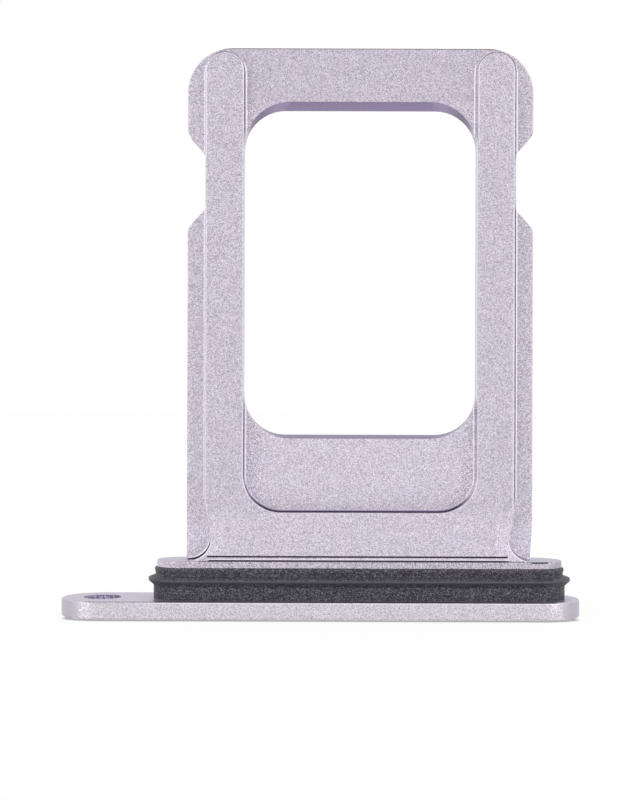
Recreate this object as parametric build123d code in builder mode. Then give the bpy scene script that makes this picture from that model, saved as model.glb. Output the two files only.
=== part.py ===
from build123d import *
import os

# A tray that carries one small card into the side of a telephone.
# It is one machined piece of aluminium, with a rubber ring seal in a groove behind its door.
# All sizes are in millimetres. The tray stands on the outer face of its door: X runs along
# the door, Z from the door to the tip of the frame, and Y through the thickness.
# The origin is the centre of the door's outer face. The face with the runners looks along -Y.

# Card, and the seat for it in the back of the frame
card_length = 12.30
card_width = 8.80
card_clearance = 0.10
card_corner_radius = 0.80
card_key = 1.65
seat_depth = 0.65
seat_side_wall = 1.32
seat_tip_wall = 1.295
seat_root_wall = 3.455

# Web that the card lies on, and the window through it, which is larger at the front
web_thickness = 0.35
window_end_ledge = 0.765
window_tip_slope = 0.26
window_root_slope = 0.13
window_corner_radius = 1.38
window_front_corner_radius = 1.55

# Runners raised on the front, the ledges outside them and the channel between them
raised_height = 0.50
ledge_width = 0.63
runner_width = 1.28
runner_end_gap = 0.20
channel_apron = 2.46
channel_corner_radius = 1.26
floor_corner_radius = 0.10
raised_edge = 0.05
tip_corner_radius = 1.50
outline_edge = 0.04
back_edge = 0.06

# Feet of the ledges, where the pocket beside each runner widens and ends in a round
foot_round_radius = 0.735
foot_round_inset = 0.10
foot_web = 0.02
flare_radius = 6.50
leaf_height = 0.05
foot_taper = 0.08
foot_taper_length = 1.40

# Hollow corner between the raised face and the root block, and the fine groove above it
band_overrun = 0.06
scribe_gap = 0.025
scribe_width = 0.055
scribe_depth = 0.04

# Catch notches in both edges of the frame
notch_mouth = 3.20
notch_floor_length = 1.78
notch_centre_from_tip = 4.49
notch_corner_radius = 0.18
notch_mouth_radius = 0.40

# Root block behind the door, with the groove that holds the seal
block_side_overhang = 1.02
block_face_overhang = 0.10
block_rim = 0.22
block_edge = 0.05
groove_depth = 0.35

# Door plate, and the hole for the ejector pin at the centre of its left end
door_length = 17.50
door_thickness = 0.60
door_end_margin = 0.60
door_face_margin = 0.525
door_edge = 0.07
hole_diameter = 1.26
hole_mouth_width = 0.14
hole_mouth_angle = 90

# Ring seal from the door up: heights that add up, and how far each part stands proud
seal_core_clearance = 0.02
seal_body_height = 0.45
seal_body_proud = 0.11
seal_lip_rise = 0.20
seal_lip_thickness = 0.11
seal_lip_proud = 0.285
seal_lip_radius = 0.05
seal_root_radius = 0.09
seal_waist_rise = 0.17
seal_waist_length = 0.05
seal_waist_proud = 0.04
seal_band_rise = 0.17
seal_band_length = 0.08
seal_band_proud = 0.07
seal_top_rise = 0.08
seal_soft_radius = 0.04

# How far off a level an edge may lie and still count as on it
level_slack = 0.001

# Widths and thicknesses worked out from the sizes above, from the card outwards
seat_length = card_length + 2 * card_clearance
seat_width = card_width + 2 * card_clearance
frame_half = seat_width / 2 + seat_side_wall
raised_half = frame_half - ledge_width
channel_half = raised_half - runner_width
runner_radius = runner_width / 2
frame_thickness = raised_height + web_thickness + seat_depth
front = frame_thickness / 2
back = -frame_thickness / 2
floor = front - raised_height
web_back = back + seat_depth

block_length = 2 * (frame_half + block_side_overhang)
block_depth = frame_thickness + 2 * block_face_overhang
core_length = block_length - 2 * groove_depth
core_depth = block_depth - 2 * groove_depth
door_depth = block_depth + 2 * door_face_margin
frame_offset = (door_length - block_length) / 2 - door_end_margin
hole_x = (door_depth - door_length) / 2

# Levels worked out from the sizes above, from the door upwards
seal_lip_height = seal_body_height + seal_lip_rise
seal_waist_height = seal_lip_height + seal_waist_rise
seal_band_height = seal_waist_height + seal_band_rise
groove_height = seal_band_height + seal_top_rise
groove_top = door_thickness + groove_height
block_top = groove_top + block_rim
seat_bottom = block_top + seat_root_wall
seat_middle = seat_bottom + seat_length / 2
frame_tip = seat_bottom + seat_length + seat_tip_wall

window_back_length = seat_length - 2 * window_end_ledge
window_front_length = window_back_length + window_tip_slope + window_root_slope
window_front_middle = seat_middle + (window_tip_slope - window_root_slope) / 2
channel_bottom = window_front_middle - window_front_length / 2 - channel_apron
runner_top = frame_tip - runner_end_gap
notch_middle = frame_tip - notch_centre_from_tip

foot_bottom = block_top + foot_web
foot_centre_x = frame_half - foot_round_inset
foot_centre_z = foot_bottom + foot_round_radius
foot_inner_x = foot_centre_x - foot_round_radius
foot_corner_x = frame_half - outline_edge
web_tip = frame_tip - outline_edge
band_half = foot_inner_x + band_overrun
scribe_bottom = block_top + block_face_overhang + scribe_gap

# The flare beside each foot is an arc that touches both the runner's side and the foot's round
flare_run = foot_centre_x - raised_half + flare_radius
flare_reach = flare_radius + foot_round_radius
flare_rise = (flare_reach**2 - flare_run**2) ** 0.5
flare_top = foot_centre_z + flare_rise
round_share = foot_round_radius / flare_reach
round_end = (foot_centre_x - flare_run * round_share, foot_centre_z + flare_rise * round_share)

# Plane of the frame: its local x is X from the middle line, its local y is Z, and it faces the front
frame_plane = Plane(origin=(frame_offset, 0, 0), x_dir=(1, 0, 0), z_dir=(0, -1, 0))


def on_level(shapes, axis, level):
    """Those of the shapes whose middle lies on a level of the axis."""
    return shapes.filter_by_position(axis, level - level_slack, level + level_slack)


def above(shapes, axis, level):
    """Those of the shapes whose middle lies clearly above a level of the axis."""
    return shapes.filter_by(lambda shape: shape.center().dot(axis.direction) > level + level_slack)


# Slab of the frame, from the floor level to the back, with its edges broken all round
with BuildPart() as slab:
    with BuildSketch(frame_plane.offset(back + back_edge)) as slab_outline:
        with Locations((0, (groove_top + frame_tip) / 2)):
            Rectangle(2 * frame_half, frame_tip - groove_top)
        fillet(slab_outline.vertices().group_by(Axis.Y)[-1], tip_corner_radius)
    extrude(amount=floor - back - back_edge)
    extrude(slab_outline.sketch, amount=-back_edge, taper=45)
    fillet(above(on_level(slab.edges(), Axis.Y, -floor), Axis.Z, groove_top), outline_edge)

# Raised face on its web: two runners with round ends, joined by a bridge across the foot.
# The cutter leaves a small round where the raised walls meet the floor.
with BuildPart() as raised_face:
    with BuildSketch(frame_plane.offset(floor)) as web_outline:
        with Locations((0, (groove_top + web_tip) / 2)):
            Rectangle(2 * foot_corner_x, web_tip - groove_top)
        fillet(web_outline.vertices().group_by(Axis.Y)[-1], tip_corner_radius - outline_edge)
    extrude(amount=-web_thickness)
    with BuildSketch(frame_plane.offset(floor)) as raised_outline:
        with BuildLine() as raised_line:
            foot_run = Line((0, groove_top), (foot_corner_x, groove_top))
            foot_side = Line(foot_run @ 1, (foot_corner_x, foot_bottom))
            foot_shelf = Line(foot_side @ 1, (foot_centre_x, foot_bottom))
            foot_round = RadiusArc(foot_shelf @ 1, round_end, foot_round_radius)
            flare = TangentArc(foot_round @ 1, (raised_half, flare_top), tangent=foot_round % 1)
            runner_outer = Line(flare @ 1, (raised_half, runner_top - runner_radius))
            runner_end = ThreePointArc(
                runner_outer @ 1,
                (raised_half - runner_radius, runner_top),
                (channel_half, runner_top - runner_radius),
            )
            runner_inner = Line(runner_end @ 1, (channel_half, channel_bottom))
            channel_edge = Line(runner_inner @ 1, (0, channel_bottom))
            mirror(about=Plane.YZ)
        make_face()
        channel_ends = on_level(raised_outline.vertices(), Axis.Y, channel_bottom).sort_by(Axis.X)
        fillet([channel_ends[0], channel_ends[-1]], channel_corner_radius)
    extrude(amount=raised_height)
    floor_edges = above(on_level(raised_face.edges(), Axis.Y, -floor), Axis.Z, foot_bottom)
    reach = foot_centre_x - frame_offset, foot_centre_x + frame_offset
    wall_feet = floor_edges.filter_by_position(Axis.X, -reach[0], reach[1]).filter_by(
        lambda edge: edge.bounding_box().max.Z < runner_top + level_slack
    )
    fillet(wall_feet, floor_corner_radius)
    fillet(above(on_level(raised_face.edges(), Axis.Y, -front), Axis.Z, groove_top), raised_edge)

# Tray: door, root block and frame in one piece
with BuildPart() as tray:
    # Door plate with round ends
    with BuildSketch(Plane.XY) as door_outline:
        SlotOverall(door_length, door_depth)
    extrude(amount=door_thickness)
    fillet(on_level(tray.edges(), Axis.Z, 0) + on_level(tray.edges(), Axis.Z, door_thickness), door_edge)

    # Core of the seal groove
    with BuildSketch(Plane.XY.offset(door_thickness)) as core_outline:
        with Locations((frame_offset, 0)):
            SlotOverall(core_length, core_depth)
    extrude(amount=groove_height)

    # Rim of the root block, which holds the seal down
    with BuildSketch(Plane.XY.offset(groove_top)) as rim_outline:
        with Locations((frame_offset, 0)):
            SlotOverall(block_length, block_depth)
    extrude(amount=block_rim)
    fillet(on_level(tray.edges(), Axis.Z, block_top), block_edge)

    # Frame, with its raised face
    add(slab.part)
    add(raised_face.part)

    # Leaf on the right foot, a thin facet left between the round and its chord
    with BuildSketch(frame_plane.offset(floor)) as leaf_outline:
        with BuildLine() as leaf_line:
            leaf_round = RadiusArc(
                (foot_centre_x, foot_bottom), (foot_inner_x, foot_centre_z), foot_round_radius
            )
            Line(leaf_round @ 1, leaf_round @ 0)
        make_face()
    extrude(amount=leaf_height, taper=45)

    # Hollow corner where the raised face runs down to the rim of the root block
    band_plane = Plane(origin=(frame_offset - band_half, 0, 0), x_dir=(0, 1, 0), z_dir=(1, 0, 0))
    with BuildSketch(band_plane) as band_section:
        with BuildLine() as band_line:
            band_front = Line((-block_depth / 2, block_top), (-block_depth / 2, groove_top))
            band_foot = Line(band_front @ 1, (-front, groove_top))
            band_back = Line(band_foot @ 1, (-front, block_top + block_face_overhang))
            TangentArc(band_back @ 1, band_front @ 0, tangent=(0, -1))
        make_face()
    extrude(amount=2 * band_half)

    # Fine groove along the top of the hollow corner
    with BuildSketch(frame_plane.offset(front)) as scribe_outline:
        with Locations((0, scribe_bottom + scribe_width / 2)):
            Rectangle(2 * band_half, scribe_width)
    extrude(amount=-scribe_depth, mode=Mode.SUBTRACT)

    # The right edge draws in a little towards its foot
    with BuildSketch(frame_plane.offset(back)) as taper_outline:
        with BuildLine() as taper_line:
            Polyline(
                (frame_half, block_top),
                (frame_half - foot_taper, block_top),
                (frame_half, block_top + foot_taper_length),
                close=True,
            )
        make_face()
    extrude(amount=frame_thickness, mode=Mode.SUBTRACT)

    # Notches that the spring catch of the telephone drops into, with rounded mouths
    with BuildSketch(frame_plane.offset(back)) as notch_outline:
        with BuildLine() as notch_line:
            Polyline(
                (frame_half, notch_middle + notch_mouth / 2),
                (raised_half, notch_middle + notch_floor_length / 2),
                (raised_half, notch_middle - notch_floor_length / 2),
                (frame_half, notch_middle - notch_mouth / 2),
                close=True,
            )
        make_face()
        fillet(notch_outline.vertices().group_by(Axis.X)[0], notch_corner_radius)
        with Locations((frame_half, notch_middle)):
            Rectangle(ledge_width, 2 * notch_mouth, align=(Align.MIN, Align.CENTER))
        mouth_corners = on_level(notch_outline.vertices(), Axis.X, frame_half).sort_by(Axis.Y)
        fillet(mouth_corners[1:-1], notch_mouth_radius)
        mirror(about=Plane.YZ)
    extrude(amount=frame_thickness, mode=Mode.SUBTRACT)

    # Window, straight down from the raised face to the floor and sloping through the web
    with BuildSketch(frame_plane.offset(floor)) as window_front:
        with Locations((0, window_front_middle)):
            RectangleRounded(2 * channel_half, window_front_length, window_front_corner_radius)
    extrude(amount=raised_height, mode=Mode.SUBTRACT)
    with BuildSketch(frame_plane.offset(web_back)) as window_back:
        with Locations((0, seat_middle)):
            RectangleRounded(2 * channel_half, window_back_length, window_corner_radius)
    loft([window_front.sketch, window_back.sketch], mode=Mode.SUBTRACT)

    # Seat for the card, open to the back, with the corner that keys it
    with BuildSketch(frame_plane.offset(back)) as seat_outline:
        with Locations((0, seat_middle)):
            Rectangle(seat_width, seat_length)
        tip_corners = seat_outline.vertices().group_by(Axis.Y)[-1].sort_by(Axis.X)
        root_corners = seat_outline.vertices().group_by(Axis.Y)[0]
        fillet(root_corners + tip_corners[:1], card_corner_radius)
        key_corner = seat_outline.vertices().group_by(Axis.Y)[-1].sort_by(Axis.X)[-1]
        chamfer(key_corner, card_key)
    extrude(amount=seat_depth, mode=Mode.SUBTRACT)

    # Hole for the ejector pin, with its conical mouth in the outer face
    with Locations(Location((hole_x, 0, 0), (180, 0, 0))):
        CounterSinkHole(
            hole_diameter / 2,
            hole_diameter / 2 + hole_mouth_width,
            door_thickness,
            counter_sink_angle=hole_mouth_angle,
        )

# Ring seal, stretched round the core of the groove and resting on the door
seal_inner = core_depth / 2 + seal_core_clearance
seal_wall = block_depth / 2
seal_run = (core_length - core_depth) / 2
seal_start = (frame_offset - seal_run, 0, door_thickness)

with BuildPart() as seal:
    with BuildSketch(Plane(origin=seal_start, x_dir=(0, -1, 0), z_dir=(-1, 0, 0))) as seal_section:
        with BuildLine() as seal_line:
            Polyline(
                (seal_inner, 0),
                (seal_wall + seal_body_proud, 0),
                (seal_wall + seal_body_proud, seal_body_height),
                (seal_wall + seal_lip_proud, seal_lip_height - seal_lip_thickness / 2),
                (seal_wall + seal_lip_proud, seal_lip_height + seal_lip_thickness / 2),
                (seal_wall + seal_waist_proud, seal_waist_height - seal_waist_length / 2),
                (seal_wall + seal_waist_proud, seal_waist_height + seal_waist_length / 2),
                (seal_wall + seal_band_proud, seal_band_height - seal_band_length / 2),
                (seal_wall + seal_band_proud, seal_band_height + seal_band_length / 2),
                (seal_wall, groove_height),
                (seal_inner, groove_height),
                close=True,
            )
        make_face()
        fillet(seal_section.vertices().group_by(Axis.X)[-1], seal_lip_radius)
        body_points = on_level(seal_section.vertices(), Axis.X, seal_wall + seal_body_proud)
        fillet(body_points.sort_by(Axis.Y)[-1], seal_root_radius)
        fillet(body_points.sort_by(Axis.Y)[0], seal_soft_radius)
        soft_points = seal_section.vertices().filter_by_position(
            Axis.X,
            seal_wall + seal_waist_proud - level_slack,
            seal_wall + seal_band_proud + level_slack,
        )
        fillet(soft_points, seal_soft_radius)
    extrude(amount=-2 * seal_run)
    mirror(about=Plane.XZ)
    revolve(seal_section.sketch, axis=Axis(seal_start, (0, 0, -1)), revolution_arc=180)
    mirror(about=Plane.YZ.offset(frame_offset))

tray.part.label = "tray"
seal.part.label = "seal"

os.makedirs("parts", exist_ok=True)
export_step(tray.part, "parts/tray.step")
export_step(seal.part, "parts/seal.step")
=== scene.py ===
import bmesh
import bpy
import math
from mathutils import Euler, Matrix, Vector


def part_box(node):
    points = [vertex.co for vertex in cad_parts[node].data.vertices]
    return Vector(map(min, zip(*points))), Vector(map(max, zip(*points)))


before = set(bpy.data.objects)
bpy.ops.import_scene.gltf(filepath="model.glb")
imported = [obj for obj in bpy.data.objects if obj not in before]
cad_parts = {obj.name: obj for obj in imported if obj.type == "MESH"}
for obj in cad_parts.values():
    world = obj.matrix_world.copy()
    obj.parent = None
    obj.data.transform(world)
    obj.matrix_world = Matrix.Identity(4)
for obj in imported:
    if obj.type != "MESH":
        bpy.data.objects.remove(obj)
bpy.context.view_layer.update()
print("frame loaded:", ", ".join(sorted(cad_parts)))

mm = 0.001
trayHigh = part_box("tray")[1]

# Where the tray's features lie, in millimetres
middleX = 1.31                                        # of the frame
channelHalf, seatHalf, runnerHalf = 3.91, 4.50, 5.19  # from that middle
channelLow, seatHigh, archHigh, tipHigh = 3.52, 17.90, 18.94, 19.14
windowLow, windowHigh, barLow = 6.80, 16.30, 17.20    # the window's straight sides, and the bar above
notchLow, notchHigh = 13.75, 15.40
faceY, floorY, faceRound = -0.75, -0.25, 0.05         # of the raised face, and of what lies round it
doorHigh, doorFrontY = 0.60, -1.375
doorEdgeHalf, sealLeft, frameRight = 8.20, -5.50, 7.13
rimLow, rimHigh, footLow, frameLow, flareLow = 1.60, 1.89, 1.90, 2.10, 2.35
holeX, holeRadius = -7.375, 0.63
scribeLow, scribeHigh, scribeLeft, scribeRight = 2.015, 2.07, -3.80, 6.26

# The camera stands in front of the raised face and looks straight along +Y.
cameraSpec = {
    "pictureHigh": 800,      # pixels along the long side
    "focalPixels": 1620,
    "sensorMm": 36,
    "acrossMm": -0.034,
    "backMm": -54.85,
    "heightMm": 7.285,
    "rollDegrees": 0.17,     # the picture leans a little clockwise
    "nearMm": 1,
    "farMm": 10000,
}


def makeCamera(spec):
    data = bpy.data.cameras.new("camera")
    data.sensor_width = spec["sensorMm"]
    data.lens = spec["focalPixels"] / spec["pictureHigh"] * spec["sensorMm"]
    data.clip_start = spec["nearMm"] * mm
    data.clip_end = spec["farMm"] * mm
    camera = bpy.data.objects.new("camera", data)
    bpy.context.scene.collection.objects.link(camera)
    level = Euler((math.radians(90), 0, 0)).to_matrix()
    roll = Matrix.Rotation(math.radians(spec["rollDegrees"]), 3, "Z")
    camera.rotation_euler = (level @ roll).to_euler()
    camera.location = Vector((spec["acrossMm"], spec["backMm"], spec["heightMm"])) * mm
    bpy.context.scene.camera = camera


makeCamera(cameraSpec)
bpy.context.scene.view_settings.view_transform = "Standard"
print("camera placed")


class Wire:  # an output socket, so that shader maths reads as arithmetic
    def __init__(self, shader, socket):
        self.shader = shader
        self.socket = socket

    def maths(self, operation, *others):
        return self.shader.node("Math", {"operation": operation}, dict(enumerate([self, *others])))

    def __add__(self, other):
        return self.maths("ADD", other)

    def __sub__(self, other):
        return self.maths("SUBTRACT", other)

    def __mul__(self, other):
        return self.maths("MULTIPLY", other)

    def __pow__(self, other):
        return self.maths("POWER", other)

    def __rsub__(self, other):
        return self.shader.node("Math", {"operation": "SUBTRACT"}, {0: other, 1: self})

    __radd__ = __add__
    __rmul__ = __mul__

    def size(self):
        return self.maths("ABSOLUTE")

    def most(self, other):
        return self.maths("MAXIMUM", other)

    def ramp(self, low, high):  # 0 at low, 1 at high, smooth between; low may be the larger
        settings = {"interpolation_type": "SMOOTHSTEP"}
        return self.shader.node("MapRange", settings, {"Value": self, "From Min": low, "From Max": high})

    def between(self, low, high, soft):
        return self.ramp(low - soft, low + soft) * self.ramp(high + soft, high - soft)


class Shader:  # a node tree
    def __init__(self, tree):
        self.tree = tree
        tree.nodes.clear()

    def node(self, kind, settings=None, sockets=None, output=0):  # type, settings, socket values
        made = self.tree.nodes.new("ShaderNode" + kind)
        for name, value in (settings or {}).items():
            setattr(made, name, value)
        for name, value in (sockets or {}).items():
            if isinstance(value, Wire):
                self.tree.links.new(value.socket, made.inputs[name])
            else:
                made.inputs[name].default_value = value
        return Wire(self, made.outputs[output]) if made.outputs else None

    def split(self, vector):
        node = self.node("SeparateXYZ", {}, {0: vector}).socket.node
        return [Wire(self, socket) for socket in node.outputs]

    def length(self, first, second):
        vector = self.node("CombineXYZ", {}, {0: first, 1: second})
        return self.node("VectorMath", {"operation": "LENGTH"}, {0: vector}, 1)

    def blend(self, share, first, second):  # two colours, each a wire or (r, g, b)
        first, second = [c if isinstance(c, Wire) else (*c, 1) for c in (first, second)]
        sockets = {0: share, 6: first, 7: second}
        return self.node("Mix", {"data_type": "RGBA", "clamp_factor": True}, sockets, 2)

    def tint(self, colour, value):  # the colour, value times as bright
        sockets = {0: colour, "Scale": value}
        return self.node("VectorMath", {"operation": "SCALE"}, sockets)

    def noise(self, place, perMm, detail, rough):
        sockets = {"Vector": place, "Scale": perMm, "Detail": detail, "Roughness": rough}
        return self.node("TexNoise", {}, sockets)

    def cells(self, place, perMm):  # three random values in each small cell
        return self.split(self.node("TexVoronoi", {}, {"Vector": place, "Scale": perMm}, 1))


def newMaterial(name):
    material = bpy.data.materials.new(name)
    material.use_nodes = True
    return material, Shader(material.node_tree)


def inMillimetres(shader):
    place = shader.node("TexCoord", output=3)
    return shader.node("Mapping", {}, {"Vector": place, "Scale": (1 / mm, 1 / mm, 1 / mm)})


# Bead-blasted and dyed aluminium. The faces are pale and grainy, with painted light and shade per place;
# edges carry painted highlights and painted shadow lines; smooth machined walls take more dye and painted
# shade. Colours are linear.
aluminium = {
    "cool": (0.572, 0.529, 0.622),
    "warm": (0.588, 0.526, 0.613),
    # painted shade on the faces that look up, and in part on the round ends
    "top": (0.470, 0.432, 0.540),
    "door": (0.603, 0.583, 0.620),
    # painted highlight on rounded edges, and painted glints in the pin hole
    "edge": (0.860, 0.825, 0.900),
    "wall": (0.360, 0.300, 0.455),
    "sill": (0.255, 0.215, 0.315),  # painted shade on the walls of the window that face up
    "pale": (0.920, 0.890, 0.950),  # walls beside the runners, on the lit side and on the other
    "deep": (0.250, 0.195, 0.320),
    "line": (0.022, 0.014, 0.032),  # painted shadow in grooves and on edges
    "metal": 0.85,
    "rough": 0.34,
    "wallRough": 0.20,
    "speckRough": 0.12,
    "grainPerMm": 42.0,
    "grainShare": 0.82,
    "grainMm": 0.003,               # height of the blasted grain
    "grainHue": 0.10,
    "blotchPerMm": 1.1,
    "ledgeWarmth": 0.12,
    "paintedGlintPerMm": 7.0,            # painted glints on the wall of the pin hole
    # How much brighter each place is painted than the rest, as painted light and shade (darker near the
    # channel walls and on the round ends, painted highlights on the rim's left end and where the door
    # turns), and how much stronger its grain
    "shades": {
        "ledge": -0.010, "bar": -0.045, "channel": 0.080, "nearWall": -0.040, "bridge": 0.063,
        "feet": 0.100, "rim": -0.095, "rimLeft": 0.420, "door": 0.043, "doorTurn": 0.140, "ends": -0.090,
    },
    "grains": {"ledge": 0.10, "nearWall": 0.40, "rim": 0.30, "door": -0.12, "ends": -0.80, "top": -0.70},
    # How strongly each painted highlight and painted shadow line shows
    "bright": {"crest": 0.80, "flat": 0.70, "rootToRight": 0.90, "rootToLeft": 0.50, "doorEdge": 0.60},
    "dark": {"gutter": 0.35, "hollow": 0.90, "doorEnd": 0.45, "tipEdge": 0.80},
}


class Surface:  # where a point of the tray lies and how it faces, as wires in millimetres
    def __init__(self, shader):
        self.place = inMillimetres(shader)
        self.x, self.y, self.z = shader.split(self.place)
        self.across, facing, self.up = shader.split(shader.node("TexCoord", output=1))
        self.level = facing.size()              # 1 on faces that look along Y, 0 on walls
        self.aside = (self.x - middleX).size()  # distance from the frame's middle line
        runnerMiddle = (channelHalf + runnerHalf) / 2
        arch = (runnerHalf - channelHalf) / 2
        pastArch = (self.z - (archHigh - arch)).most(0)
        self.outer = self.aside.ramp(runnerMiddle - 0.05, runnerMiddle + 0.05)
        self.outside = shader.length(self.aside - runnerMiddle, pastArch) - arch  # past a runner's edge
        self.beside = self.z.ramp(channelLow + 0.15, channelLow + 0.65)           # where the runners stand
        self.inChannel = self.aside.ramp(runnerHalf - 0.2, runnerHalf - 0.3)
        self.aboveRim = self.z.ramp(footLow, footLow + 0.04)
        window = self.z.between(windowLow, windowHigh, 0.5) * (1 - self.outer)
        notch = self.z.between(notchLow, notchHigh, 0.15) * self.outer
        self.open = window + notch                                                # no floor beside them
        self.onRim = self.z.between(rimLow, rimHigh, 0.02)
        self.onDoor = self.z.ramp(doorHigh + 0.02, doorHigh - 0.02)
        self.ends = self.across.size().ramp(0.42, 0.75) * (self.onRim + self.onDoor)
        self.right = self.x.ramp(middleX - 0.1, middleX + 0.1)
        self.rightInner = self.right * (1 - self.outer)
        self.rightOuter = self.right * self.outer
        self.leftInner = (1 - self.right) * (1 - self.outer)
        self.leftOuter = (1 - self.right) * self.outer
        self.top = self.up.ramp(0.75, 0.95) * self.z.ramp(frameLow, frameLow - 0.1)


def machinedWalls(shader, at, spec):  # share and colour of the walls that the cutter leaves: more dye, plus painted shade and painted light by how they face
    raised = at.y.ramp(floorY + 0.02, floorY - 0.02) * at.y.ramp(faceY + 0.03, faceY + faceRound)
    raised = raised * at.aboveRim * at.level.ramp(0.60, 0.40)
    window = at.aside.ramp(seatHalf + 0.05, seatHalf) * at.z.between(channelLow, seatHigh, 0.03)
    window = window * at.level.ramp(0.85, 0.70) * at.y.ramp(floorY - 0.02, floorY)
    window = window * (1 - at.across.size().ramp(0.80, 0.97) * 0.85)
    hole = shader.length(at.x - holeX, at.y).ramp(holeRadius + 0.02, holeRadius)
    bottom = at.inChannel * (1 - at.beside) * at.up.ramp(0.05, 0.20) * at.level.ramp(0.985, 0.90)
    bottom = bottom * at.y.between(floorY - 0.12, floorY - 0.002, 0.001) * at.z.ramp(footLow, footLow + 0.3)
    raised = raised.most(bottom * 0.95)

    # Walls beside the runners are bright on the side that faces the light
    beside = shader.blend(at.across.ramp(-0.25, 0.25) * (1 - at.open), spec["pale"], spec["deep"])
    beside = shader.tint(beside, 1 - at.open * 0.34 + at.leftInner * (1 - at.open) * 0.45)

    # Under them, painted shade on the foot arcs and the channel's lower wall, and painted light on the
    # right foot arcs
    foot = shader.blend(at.y.ramp(floorY - 0.20, floorY - 0.12), spec["wall"], spec["line"])
    foot = shader.blend(at.right * 0.9, foot, spec["pale"])
    under = shader.blend(at.level.ramp(0.86, 0.62), spec["wall"], spec["line"])
    under = shader.blend(at.inChannel * at.up.ramp(0.05, 0.20), foot, under)
    beside = shader.blend(at.up.ramp(0.15, 0.35) * (1 - at.beside), beside, under)

    # Painted shade on the frame's walls: darker where they face up and where they face aside
    frameWall = shader.blend(at.up.ramp(0, 0.5), spec["wall"], spec["sill"])
    frameWall = shader.tint(frameWall, 1 - at.across.size().ramp(0.15, 0.65) * 0.38)
    # Painted glints on the wall of the pin hole
    paintedGlint = shader.noise(at.place, spec["paintedGlintPerMm"], 3.0, 0.7).ramp(0.43, 0.56)
    paintedGlint = shader.blend(paintedGlint, spec["wall"], spec["edge"])
    colour = shader.blend(hole, shader.blend(raised, frameWall, beside), paintedGlint)
    return raised.most(window).most(hole), colour


def paintedHighlightShare(at, shares):  # share of the rounded edges and corners that get a painted highlight
    # The round of the raised face, except at the right, where it lies in shadow
    turned = at.rightOuter * at.z.ramp(channelLow - 0.2, channelLow + 0.2)
    flare = at.z.between(flareLow, channelLow, 0.15) * at.outer
    soft = 1 - at.open * (at.right * 0.35 + 0.6) - flare * 0.5 - at.leftOuter * at.beside * 0.35
    crest = at.y.between(faceY + 0.002, faceY + faceRound + 0.002, 0.002) * at.aboveRim
    crest = crest * (1 - turned) * at.up.ramp(0.45, 0.25).most(1 - at.beside)
    crest = crest * soft * (1 - at.rightInner * 0.15) * (1 - at.inChannel * at.up.ramp(0.3, 0.6) * 0.6)

    # There the bright line lies on the face instead
    flat = at.outside.between(-0.094, -0.058, 0.006) * at.y.ramp(faceY + 0.02, faceY + 0.005)
    flat = flat * turned * at.z.ramp(archHigh - 0.15, archHigh - 0.35) * (1 - at.open * 0.7)

    # Where the runners' walls meet the floor
    off = at.outside - 0.028 - at.right * (0.026 + at.outer * 0.015)
    root = off.between(-0.002, 0.042, 0.008) * at.y.ramp(floorY - 0.15, floorY - 0.10) * at.y.ramp(0, -0.1)
    root = root * at.beside * at.z.ramp(archHigh - 0.25, archHigh - 0.45)
    toRight = at.rightOuter + at.leftInner
    root = root * (toRight * (shares["rootToRight"] - shares["rootToLeft"]) + shares["rootToLeft"])

    # The foot arcs, the line under the scribed one, and the door's upper edge under the seal
    footRoot = at.level.between(0.90, 0.990, 0.01) * at.y.between(floorY - 0.05, floorY, 0.002)
    footRoot = footRoot * at.up.ramp(-0.05, 0.25) * (1 - at.beside) * (1 - at.inChannel)
    hollow = at.z.between(rimHigh + 0.050, rimHigh + 0.110, 0.005) * at.y.ramp(faceY - 0.003, faceY - 0.008)
    doorEdge = at.z.between(doorHigh - 0.070, doorHigh - 0.025, 0.006) * at.up.ramp(0.10, 0.25)
    doorEdge = doorEdge * at.y.ramp(doorFrontY + 0.07, doorFrontY + 0.05)
    doorEdge = doorEdge * at.x.ramp(sealLeft - 0.7, sealLeft - 0.1)

    edges = crest * shares["crest"]
    for edge in (flat * shares["flat"], root, footRoot * (1 - at.right * 0.3), hollow):
        edges = edges.most(edge)
    return edges.most(doorEdge * shares["doorEdge"])


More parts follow.
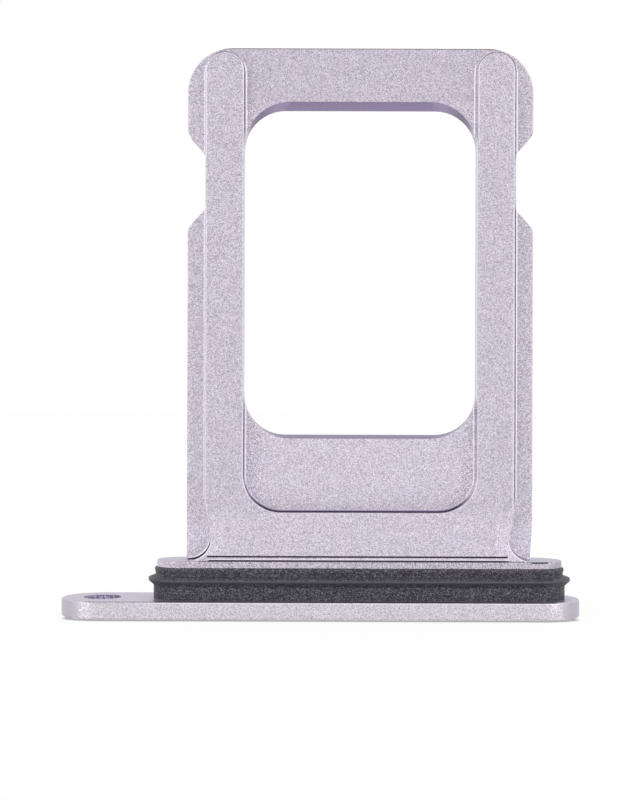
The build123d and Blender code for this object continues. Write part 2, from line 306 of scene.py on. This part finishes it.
def paintedShadowLines(at, shares):  # share of the painted shadow in the fine grooves and on the edges that lie in shade
    # The steep part of the raised face's round, and the gutter at the foot of its wall
    turned = (at.right * at.across.ramp(0.10, 0.40)).most(at.up.ramp(0.25, 0.60))
    steep = at.y.between(faceY + 0.002, faceY + 0.08, 0.002) * at.z.ramp(channelLow - 0.15, channelLow)
    steep = steep * turned * at.level.ramp(0.985, 0.90) * (1 - at.open) * at.beside
    gutter = at.outside.between(0.0, 0.026, 0.006) * at.y.between(floorY - 0.11, floorY, 0.005)
    gutter = gutter * at.beside * (1 - at.outer) * (1 - at.right * 0.7)
    footRoot = at.level.ramp(0.87, 0.77) * at.y.between(floorY - 0.15, floorY - 0.010, 0.002)
    footRoot = footRoot * at.up.ramp(0.08, 0.22) * (1 - at.beside) * at.aboveRim
    footRoot = footRoot * (1 - at.inChannel) * (1 - at.right * 0.95)

    # The scribed line, the hollow under it, and the rim's edge beside the frame
    scribe = at.z.between(scribeLow, scribeHigh, 0.006) * at.y.between(faceY - 0.01, faceY + 0.05, 0.01)
    scribe = scribe * at.x.between(scribeLeft, scribeRight, 0.01)
    hollow = at.z.between(rimHigh - 0.012, rimHigh + 0.045, 0.005) * at.y.ramp(faceY - 0.003, faceY - 0.008)
    hollow = hollow * at.x.ramp(scribeLeft - 0.40, scribeLeft - 0.15)
    hollow = hollow * at.x.ramp(frameRight - 0.03, frameRight - 0.13)
    hollow = hollow * (1 - at.x.ramp(scribeRight - 0.11, scribeRight + 0.04) * 0.6)
    rimEdge = at.z.between(rimHigh - 0.06, rimHigh + 0.005, 0.004) * at.up.between(0.12, 0.985, 0.02)
    rimEdge = rimEdge * at.x.between(frameRight - 0.10, frameRight + 0.47, 0.03) * at.y.ramp(0, -0.2)

    # The door's upper edge, with painted shadow and a painted reflection of the dark seal under the seal,
    # and the frame's upper edge
    underSeal = at.x.between(sealLeft, doorEdgeHalf, 0.1)
    besideSeal = at.x.between(-doorEdgeHalf, sealLeft, 0.1)
    doorEdge = at.z.between(doorHigh - 0.022, doorHigh + 0.004, 0.003)
    doorEdge = doorEdge * at.y.ramp(doorFrontY + 0.125, doorFrontY + 0.085)
    doorEdge = doorEdge * (underSeal + besideSeal * shares["doorEnd"])
    tipEdge = at.z.ramp(tipHigh - 0.07, tipHigh - 0.04) * at.up.between(0.20, 0.93, 0.05)
    tipEdge = tipEdge * at.y.ramp(floorY + 0.08, floorY + 0.05) * shares["tipEdge"]

    lines = steep
    for line in (gutter * shares["gutter"], footRoot, scribe, hollow * shares["hollow"], rimEdge):
        lines = lines.most(line)
    return lines.most(doorEdge).most(tipEdge)


def blastedFaces(shader, at, spec, tone, hue):  # the pale skin with its grain, slow drift of hue, and painted light and shade per place
    ledge = at.aside.ramp(runnerHalf + 0.3, runnerHalf + 0.6)
    blotch = shader.noise(at.place, spec["blotchPerMm"], 4.0, 0.6)
    warmth = blotch + (hue - 0.5) * spec["grainHue"] + ledge * spec["ledgeWarmth"]
    face = shader.blend(warmth.ramp(0.36, 0.64), spec["cool"], spec["warm"])
    face = shader.blend(at.onDoor * 0.6, face, spec["door"])
    # Painted shade: the darker top colour on faces that look up and on the round ends
    face = shader.blend(at.top.most(at.ends * 0.4), face, spec["top"])

    onFloor = at.y.between(floorY - 0.04, floorY + 0.04, 0.02) * at.z.ramp(frameLow, frameLow + 0.1)
    inChannel = onFloor * (1 - at.outer) * at.z.ramp(barLow, barLow - 0.2)
    zones = {
        "ledge": onFloor * at.outer,
        "bar": onFloor * (1 - at.outer) * at.z.ramp(barLow, barLow + 0.2),
        "channel": inChannel,
        "nearWall": inChannel * at.aside.ramp(channelHalf - 1.01, channelHalf - 0.21),
        "bridge": at.z.between(rimHigh + 0.03, channelLow, 0.02) * at.y.ramp(faceY + 0.01, faceY),
        "feet": at.outer * at.z.between(footLow + 0.10, channelLow - 0.42, 0.2),
        "rim": at.onRim,
        "rimLeft": at.onRim * at.across.ramp(-0.3, -0.8),
        "door": at.onDoor,
        "doorTurn": at.onDoor * at.across.size().between(0.18, 0.45, 0.08),  # before its round ends, a painted highlight
        "ends": at.ends,
        "top": at.top,
    }
    # Painted light and shade per place, and grain per place
    shade = sum(zones[name] * share for name, share in spec["shades"].items()) + 1
    grain = sum(zones[name] * share for name, share in spec["grains"].items()) + 1
    speck = (tone - 0.5) * grain.most(0.3)
    return shader.tint(face, shade * (1 + speck * spec["grainShare"])), speck


def aluminiumMaterial(spec):
    material, shader = newMaterial("lilacAluminium")
    at = Surface(shader)
    tone, hue, lift = shader.cells(at.place, spec["grainPerMm"])
    blasted, speck = blastedFaces(shader, at, spec, tone, hue)
    wall, wallColour = machinedWalls(shader, at, spec)
    colour = shader.blend(wall, blasted, wallColour)
    # Painted highlights along the rounded edges
    colour = shader.blend(paintedHighlightShare(at, spec["bright"]), colour, spec["edge"])
    # Painted shadow in the grooves and along the edges in shade
    colour = shader.blend(paintedShadowLines(at, spec["dark"]), colour, spec["line"])
    smooth = wall * (spec["rough"] - spec["wallRough"])
    bump = shader.node("Bump", {}, {
        "Strength": 1.0,
        "Distance": spec["grainMm"] * mm,
        "Height": lift * (1 - wall),
    })
    skin = shader.node("BsdfPrincipled", {}, {
        "Base Color": colour,
        "Metallic": spec["metal"],
        "Roughness": spec["rough"] + speck * spec["speckRough"] - smooth,
        "Normal": bump,
    })
    shader.node("OutputMaterial", {}, {"Surface": skin})
    return material


# Moulded rubber, matt and grainy, with a smooth nose to the lip and a painted highlight along it
rubber = {
    "body": (0.012, 0.010, 0.017),
    "speck": (0.212, 0.200, 0.256),
    "nose": (0.034, 0.031, 0.046),
    # painted highlight along the lip's nose
    "paintedShine": (0.086, 0.081, 0.108),
    "rough": 0.55,
    "noseRough": 0.42,
    "grainPerMm": 34.0,
    "grainMm": 0.006,
    "speckRarity": 3,
    "noseLow": 1.165,        # heights of the lip's nose, and of the painted highlight on it
    "noseHigh": 1.285,
    "paintedShineLow": 1.240,
    "paintedShineHigh": 1.270,
}


def rubberMaterial(spec):
    material, shader = newMaterial("darkRubber")
    place = inMillimetres(shader)
    z = shader.split(place)[2]
    tone, hue, lift = shader.cells(place, spec["grainPerMm"])
    nose = z.between(spec["noseLow"], spec["noseHigh"], 0.01)
    paintedShine = z.between(spec["paintedShineLow"], spec["paintedShineHigh"], 0.008)
    colour = shader.blend(tone ** spec["speckRarity"], spec["body"], spec["speck"])
    colour = shader.blend(nose, colour, spec["nose"])
    # Painted highlight along the nose
    colour = shader.blend(paintedShine, colour, spec["paintedShine"])
    bump = shader.node("Bump", {}, {
        "Strength": 1.0,
        "Distance": spec["grainMm"] * mm,
        "Height": lift * (1 - nose),
    })
    skin = shader.node("BsdfPrincipled", {}, {
        "Base Color": colour,
        "Roughness": spec["rough"] - nose * (spec["rough"] - spec["noseRough"]),
        "Normal": bump,
    })
    shader.node("OutputMaterial", {}, {"Surface": skin})
    return material


def dress(node, material):
    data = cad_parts[node].data
    data.materials.clear()
    data.materials.append(material)


dress("tray", aluminiumMaterial(aluminium))
dress("seal", rubberMaterial(rubber))
print("finishes set")

# Pale floor, with an opening under the door so that the door's outer face shows from below
floorSpec = {
    "reachMm": 900,
    "openingInsetMm": 0.25,
    "openingSteps": 48,
    "colour": (0.95, 0.95, 0.95),
    "whiteShare": 0.93,             # how much of it is seen as plain white
    "paintedFloorShadow": (0.42, 0.41, 0.43),  # a painted shadow close to the door, where the door's shadow lies
    "contactShare": 0.15,
    "contactMm": 0.16,              # how wide that is, before it fades
    "contactSoftMm": 0.32,
    "endMm": (0.30, 0.05),          # where it fades before the door's ends
}


def floorMaterial(spec):
    material, shader = newMaterial("paleFloor")
    x, y = shader.split(inMillimetres(shader))[:2]
    offDoor = shader.length((x.size() - (trayHigh.x - trayHigh.y) / mm).most(0), y) - trayHigh.y / mm
    offDoor = offDoor.ramp(spec["contactMm"], spec["contactMm"] + spec["contactSoftMm"])
    fade, gone = [trayHigh.x / mm - inset for inset in spec["endMm"]]
    offDoor = offDoor.most(x.size().ramp(fade, gone))
    # Painted shadow on the floor close to the door
    colour = shader.blend(offDoor, spec["paintedFloorShadow"], spec["colour"])
    paint = shader.node("BsdfDiffuse", {}, {"Color": colour})
    white = shader.node("Emission", {}, {"Color": (1, 1, 1, 1), "Strength": 1.0})
    inShadow = shader.node("LightPath") * (1 - offDoor) * (spec["whiteShare"] - spec["contactShare"])
    share = lookedAt(shader) * spec["whiteShare"] - inShadow
    seen = shader.node("MixShader", {}, {0: share, 1: paint, 2: white})
    under = shader.node("NewGeometry", output=6)
    clear = shader.node("BsdfTransparent")
    both = shader.node("MixShader", {}, {0: under, 1: seen, 2: clear})
    shader.node("OutputMaterial", {}, {"Surface": both})
    return material


def lookedAt(shader):  # 1 for rays that show the background, straight, mirrored or through glass
    path = [Wire(shader, socket) for socket in shader.node("LightPath").socket.node.outputs]
    camera, glossy, through = path[0], path[3], path[6]
    return camera.most(glossy).most(through)


def makeFloor(spec):
    doorRadius = trayHigh.y - spec["openingInsetMm"] * mm
    endX = trayHigh.x - trayHigh.y
    work = bmesh.new()
    bmesh.ops.create_circle(work, segments=spec["openingSteps"], radius=doorRadius)
    for corner in work.verts:
        side = 1 if corner.co.x > 0 else -1
        corner.co.x += endX * side
    skirt = bmesh.ops.extrude_edge_only(work, edges=work.edges[:])
    outer = [part for part in skirt["geom"] if isinstance(part, bmesh.types.BMVert)]
    reach = spec["reachMm"] * mm
    bmesh.ops.scale(work, vec=(reach / (endX + doorRadius), reach / doorRadius, 1), verts=outer)
    bmesh.ops.recalc_face_normals(work, faces=work.faces[:])
    bmesh.ops.reverse_faces(work, faces=[face for face in work.faces if face.normal.z < 0])
    data = bpy.data.meshes.new("floor")
    work.to_mesh(data)
    work.free()
    floor = bpy.data.objects.new("floor", data)
    bpy.context.scene.collection.objects.link(floor)
    data.materials.append(floorMaterial(spec))


makeFloor(floorSpec)
print("floor laid")

# Soft studio light: a white room, and a softbox on each side of the camera, the left one brighter
studio = {
    "fill": 0.90,            # the room's light on matt surfaces
    "aimMm": 9,              # the height that the softboxes point at
    "softboxes": [
        {"name": "leftSoftbox", "at": (-0.27, -0.32, 0.06), "wide": 0.24, "high": 0.42, "watts": 0.320},
        {"name": "rightSoftbox", "at": (0.27, -0.32, 0.06), "wide": 0.24, "high": 0.42, "watts": 0.290},
    ],
}


def makeRoom(spec):
    world = bpy.data.worlds.new("room")
    bpy.context.scene.world = world
    world.use_nodes = True
    shader = Shader(world.node_tree)
    white = lookedAt(shader)
    strength = white + (1 - white) * spec["fill"]
    glow = shader.node("Background", {}, {"Color": (1, 1, 1, 1), "Strength": strength})
    shader.node("OutputWorld", {}, {"Surface": glow})


def makeSoftbox(spec, aimMm):
    data = bpy.data.lights.new(spec["name"], "AREA")
    data.shape = "RECTANGLE"
    data.size = spec["wide"]
    data.size_y = spec["high"]
    data.energy = spec["watts"]
    softbox = bpy.data.objects.new(spec["name"], data)
    bpy.context.scene.collection.objects.link(softbox)
    softbox.location = spec["at"]
    aim = Vector((0, 0, aimMm * mm)) - softbox.location
    softbox.rotation_euler = aim.to_track_quat("-Z", "Y").to_euler()


makeRoom(studio)
for softbox in studio["softboxes"]:
    makeSoftbox(softbox, studio["aimMm"])
print("lights set")
